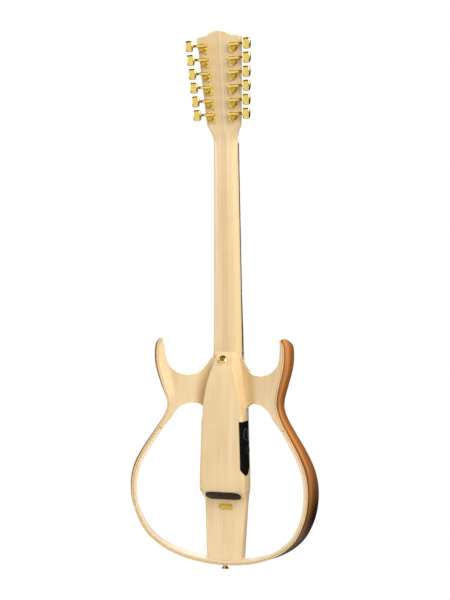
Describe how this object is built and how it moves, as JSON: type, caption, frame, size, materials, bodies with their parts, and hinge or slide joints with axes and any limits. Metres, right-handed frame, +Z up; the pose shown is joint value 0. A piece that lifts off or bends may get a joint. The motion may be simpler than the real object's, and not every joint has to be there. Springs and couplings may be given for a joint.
{
  "type": "silent guitar",
  "caption": "Silent guitar with paired strings and a skeleton body: solid centre block, two wings, swept laminated rim, geared tuners, preamp panel and battery drawer.",
  "frame": {"origin": "on the neck's front plane and centre line, 22 mm above the lower edge of the nut, at the headstock's foot, where a hanger's fork takes the guitar", "axes": "+Z up the neck towards the headstock's peak, +Y out of the player's side of the body, +X towards the treble side"},
  "size_m": [0.3704, 0.0893, 1.0063],
  "materials": {
    "maple": "pale maple under a satin clear coat",
    "brown_veneer": "brown striped veneer under a gloss clear coat",
    "pale_lamination": "pale bent lamination, satin",
    "front_wood": "reddish brown front plate, satin",
    "dark_fingerboard_wood": "oiled dark wood",
    "bone_white": "polished off-white",
    "gold_plate": "polished gold plating",
    "bronze_string": "bronze wire",
    "black_panel": "black moulded panel",
    "black_control": "black moulded controls",
    "black_plastic": "black moulded plastic"
  },
  "bodies": {
    "guitar": {"bass_wing": "maple", "battery_box": "black_plastic", "bridge": "dark_fingerboard_wood", "centre_block": "maple", "fretboard": "dark_fingerboard_wood", "front_plate": "front_wood", "neck": "maple", "nut": "bone_white", "preamp_panel": "black_panel", "saddle": "bone_white", "side_band": "pale_lamination", "side_veneer": "brown_veneer", "strap_button_end": "gold_plate", "strap_button_heel": "gold_plate", "string_course_1": "bronze_string", "string_course_2": "bronze_string", "string_course_3": "bronze_string", "string_course_4": "bronze_string", "string_course_5": "bronze_string", "string_course_6": "bronze_string", "treble_wing": "maple", "tuner_housing_01": "gold_plate", "tuner_housing_02": "gold_plate", "tuner_housing_03": "gold_plate", "tuner_housing_04": "gold_plate", "tuner_housing_05": "gold_plate", "tuner_housing_06": "gold_plate", "tuner_housing_07": "gold_plate", "tuner_housing_08": "gold_plate", "tuner_housing_09": "gold_plate", "tuner_housing_10": "gold_plate", "tuner_housing_11": "gold_plate", "tuner_housing_12": "gold_plate"},
    "knob_01": {"tuner_knob_01": "gold_plate"},
    "post_01": {"tuner_post_01": "gold_plate"},
    "knob_02": {"tuner_knob_02": "gold_plate"},
    "post_02": {"tuner_post_02": "gold_plate"},
    "knob_03": {"tuner_knob_03": "gold_plate"},
    "post_03": {"tuner_post_03": "gold_plate"},
    "knob_04": {"tuner_knob_04": "gold_plate"},
    "post_04": {"tuner_post_04": "gold_plate"},
    "knob_05": {"tuner_knob_05": "gold_plate"},
    "post_05": {"tuner_post_05": "gold_plate"},
    "knob_06": {"tuner_knob_06": "gold_plate"},
    "post_06": {"tuner_post_06": "gold_plate"},
    "knob_07": {"tuner_knob_07": "gold_plate"},
    "post_07": {"tuner_post_07": "gold_plate"},
    "knob_08": {"tuner_knob_08": "gold_plate"},
    "post_08": {"tuner_post_08": "gold_plate"},
    "knob_09": {"tuner_knob_09": "gold_plate"},
    "post_09": {"tuner_post_09": "gold_plate"},
    "knob_10": {"tuner_knob_10": "gold_plate"},
    "post_10": {"tuner_post_10": "gold_plate"},
    "knob_11": {"tuner_knob_11": "gold_plate"},
    "post_11": {"tuner_post_11": "gold_plate"},
    "knob_12": {"tuner_knob_12": "gold_plate"},
    "post_12": {"tuner_post_12": "gold_plate"},
    "volume_dial": {"volume_dial": "black_control"},
    "tone_slider": {"tone_slider": "black_control"},
    "battery_drawer": {"battery_drawer": "black_plastic"}
  },
  "joints": [
    {"name": "knob_turn_01", "type": "hinge", "parent": "guitar", "child": "knob_01", "pos_m": [0.02238, 0.02669, 0.02982], "axis": [1, 0, 0], "continuous": true},
    {"name": "post_turn_01", "type": "hinge", "parent": "guitar", "child": "post_01", "pos_m": [0.02238, 0.00743, 0.02627], "axis": [0, 0.9833, -0.1822], "continuous": true},
    {"name": "knob_turn_02", "type": "hinge", "parent": "guitar", "child": "knob_02", "pos_m": [0.02394, 0.03134, 0.05489], "axis": [1, 0, 0], "continuous": true},
    {"name": "post_turn_02", "type": "hinge", "parent": "guitar", "child": "post_02", "pos_m": [0.02394, 0.01207, 0.05135], "axis": [0, 0.9833, -0.1822], "continuous": true},
    {"name": "knob_turn_03", "type": "hinge", "parent": "guitar", "child": "knob_03", "pos_m": [0.02549, 0.03599, 0.07997], "axis": [1, 0, 0], "continuous": true},
    {"name": "post_turn_03", "type": "hinge", "parent": "guitar", "child": "post_03", "pos_m": [0.02549, 0.01672, 0.07642], "axis": [0, 0.9833, -0.1822], "continuous": true},
    {"name": "knob_turn_04", "type": "hinge", "parent": "guitar", "child": "knob_04", "pos_m": [0.02704, 0.04063, 0.10504], "axis": [1, 0, 0], "continuous": true},
    {"name": "post_turn_04", "type": "hinge", "parent": "guitar", "child": "post_04", "pos_m": [0.02704, 0.02137, 0.10149], "axis": [0, 0.9833, -0.1822], "continuous": true},
    {"name": "knob_turn_05", "type": "hinge", "parent": "guitar", "child": "knob_05", "pos_m": [0.02859, 0.04528, 0.13011], "axis": [1, 0, 0], "continuous": true},
    {"name": "post_turn_05", "type": "hinge", "parent": "guitar", "child": "post_05", "pos_m": [0.02859, 0.02601, 0.12657], "axis": [0, 0.9833, -0.1822], "continuous": true},
    {"name": "knob_turn_06", "type": "hinge", "parent": "guitar", "child": "knob_06", "pos_m": [0.03015, 0.04993, 0.15519], "axis": [1, 0, 0], "continuous": true},
    {"name": "post_turn_06", "type": "hinge", "parent": "guitar", "child": "post_06", "pos_m": [0.03015, 0.03066, 0.15164], "axis": [0, 0.9833, -0.1822], "continuous": true},
    {"name": "knob_turn_07", "type": "hinge", "parent": "guitar", "child": "knob_07", "pos_m": [-0.02238, 0.02669, 0.02982], "axis": [1, 0, 0], "continuous": true},
    {"name": "post_turn_07", "type": "hinge", "parent": "guitar", "child": "post_07", "pos_m": [-0.02238, 0.00743, 0.02627], "axis": [0, 0.9833, -0.1822], "continuous": true},
    {"name": "knob_turn_08", "type": "hinge", "parent": "guitar", "child": "knob_08", "pos_m": [-0.02394, 0.03134, 0.05489], "axis": [1, 0, 0], "continuous": true},
    {"name": "post_turn_08", "type": "hinge", "parent": "guitar", "child": "post_08", "pos_m": [-0.02394, 0.01207, 0.05135], "axis": [0, 0.9833, -0.1822], "continuous": true},
    {"name": "knob_turn_09", "type": "hinge", "parent": "guitar", "child": "knob_09", "pos_m": [-0.02549, 0.03599, 0.07997], "axis": [1, 0, 0], "continuous": true},
    {"name": "post_turn_09", "type": "hinge", "parent": "guitar", "child": "post_09", "pos_m": [-0.02549, 0.01672, 0.07642], "axis": [0, 0.9833, -0.1822], "continuous": true},
    {"name": "knob_turn_10", "type": "hinge", "parent": "guitar", "child": "knob_10", "pos_m": [-0.02704, 0.04063, 0.10504], "axis": [1, 0, 0], "continuous": true},
    {"name": "post_turn_10", "type": "hinge", "parent": "guitar", "child": "post_10", "pos_m": [-0.02704, 0.02137, 0.10149], "axis": [0, 0.9833, -0.1822], "continuous": true},
    {"name": "knob_turn_11", "type": "hinge", "parent": "guitar", "child": "knob_11", "pos_m": [-0.02859, 0.04528, 0.13011], "axis": [1, 0, 0], "continuous": true},
    {"name": "post_turn_11", "type": "hinge", "parent": "guitar", "child": "post_11", "pos_m": [-0.02859, 0.02601, 0.12657], "axis": [0, 0.9833, -0.1822], "continuous": true},
    {"name": "knob_turn_12", "type": "hinge", "parent": "guitar", "child": "knob_12", "pos_m": [-0.03015, 0.04993, 0.15519], "axis": [1, 0, 0], "continuous": true},
    {"name": "post_turn_12", "type": "hinge", "parent": "guitar", "child": "post_12", "pos_m": [-0.03015, 0.03066, 0.15164], "axis": [0, 0.9833, -0.1822], "continuous": true},
    {"name": "dial_turn", "type": "hinge", "parent": "guitar", "child": "volume_dial", "pos_m": [-0.04276, 0.00801, -0.598], "axis": [-1, 0, 0], "range_deg": [-150, 150]},
    {"name": "slider_slide", "type": "slide", "parent": "guitar", "child": "tone_slider", "axis": [0, 1, 0], "range_m": [-0.008, 0.008]},
    {"name": "drawer_slide", "type": "slide", "parent": "guitar", "child": "battery_drawer", "axis": [0, 0.6171, -0.7869], "range_m": [0, 0.028]}
  ],
  "couplings": [
    {"joint": "post_turn_01", "follows": "knob_turn_01", "ratio": 0.066667},
    {"joint": "post_turn_02", "follows": "knob_turn_02", "ratio": 0.066667},
    {"joint": "post_turn_03", "follows": "knob_turn_03", "ratio": 0.066667},
    {"joint": "post_turn_04", "follows": "knob_turn_04", "ratio": 0.066667},
    {"joint": "post_turn_05", "follows": "knob_turn_05", "ratio": 0.066667},
    {"joint": "post_turn_06", "follows": "knob_turn_06", "ratio": 0.066667},
    {"joint": "post_turn_07", "follows": "knob_turn_07", "ratio": -0.066667},
    {"joint": "post_turn_08", "follows": "knob_turn_08", "ratio": -0.066667},
    {"joint": "post_turn_09", "follows": "knob_turn_09", "ratio": -0.066667},
    {"joint": "post_turn_10", "follows": "knob_turn_10", "ratio": -0.066667},
    {"joint": "post_turn_11", "follows": "knob_turn_11", "ratio": -0.066667},
    {"joint": "post_turn_12", "follows": "knob_turn_12", "ratio": -0.066667}
  ]
}
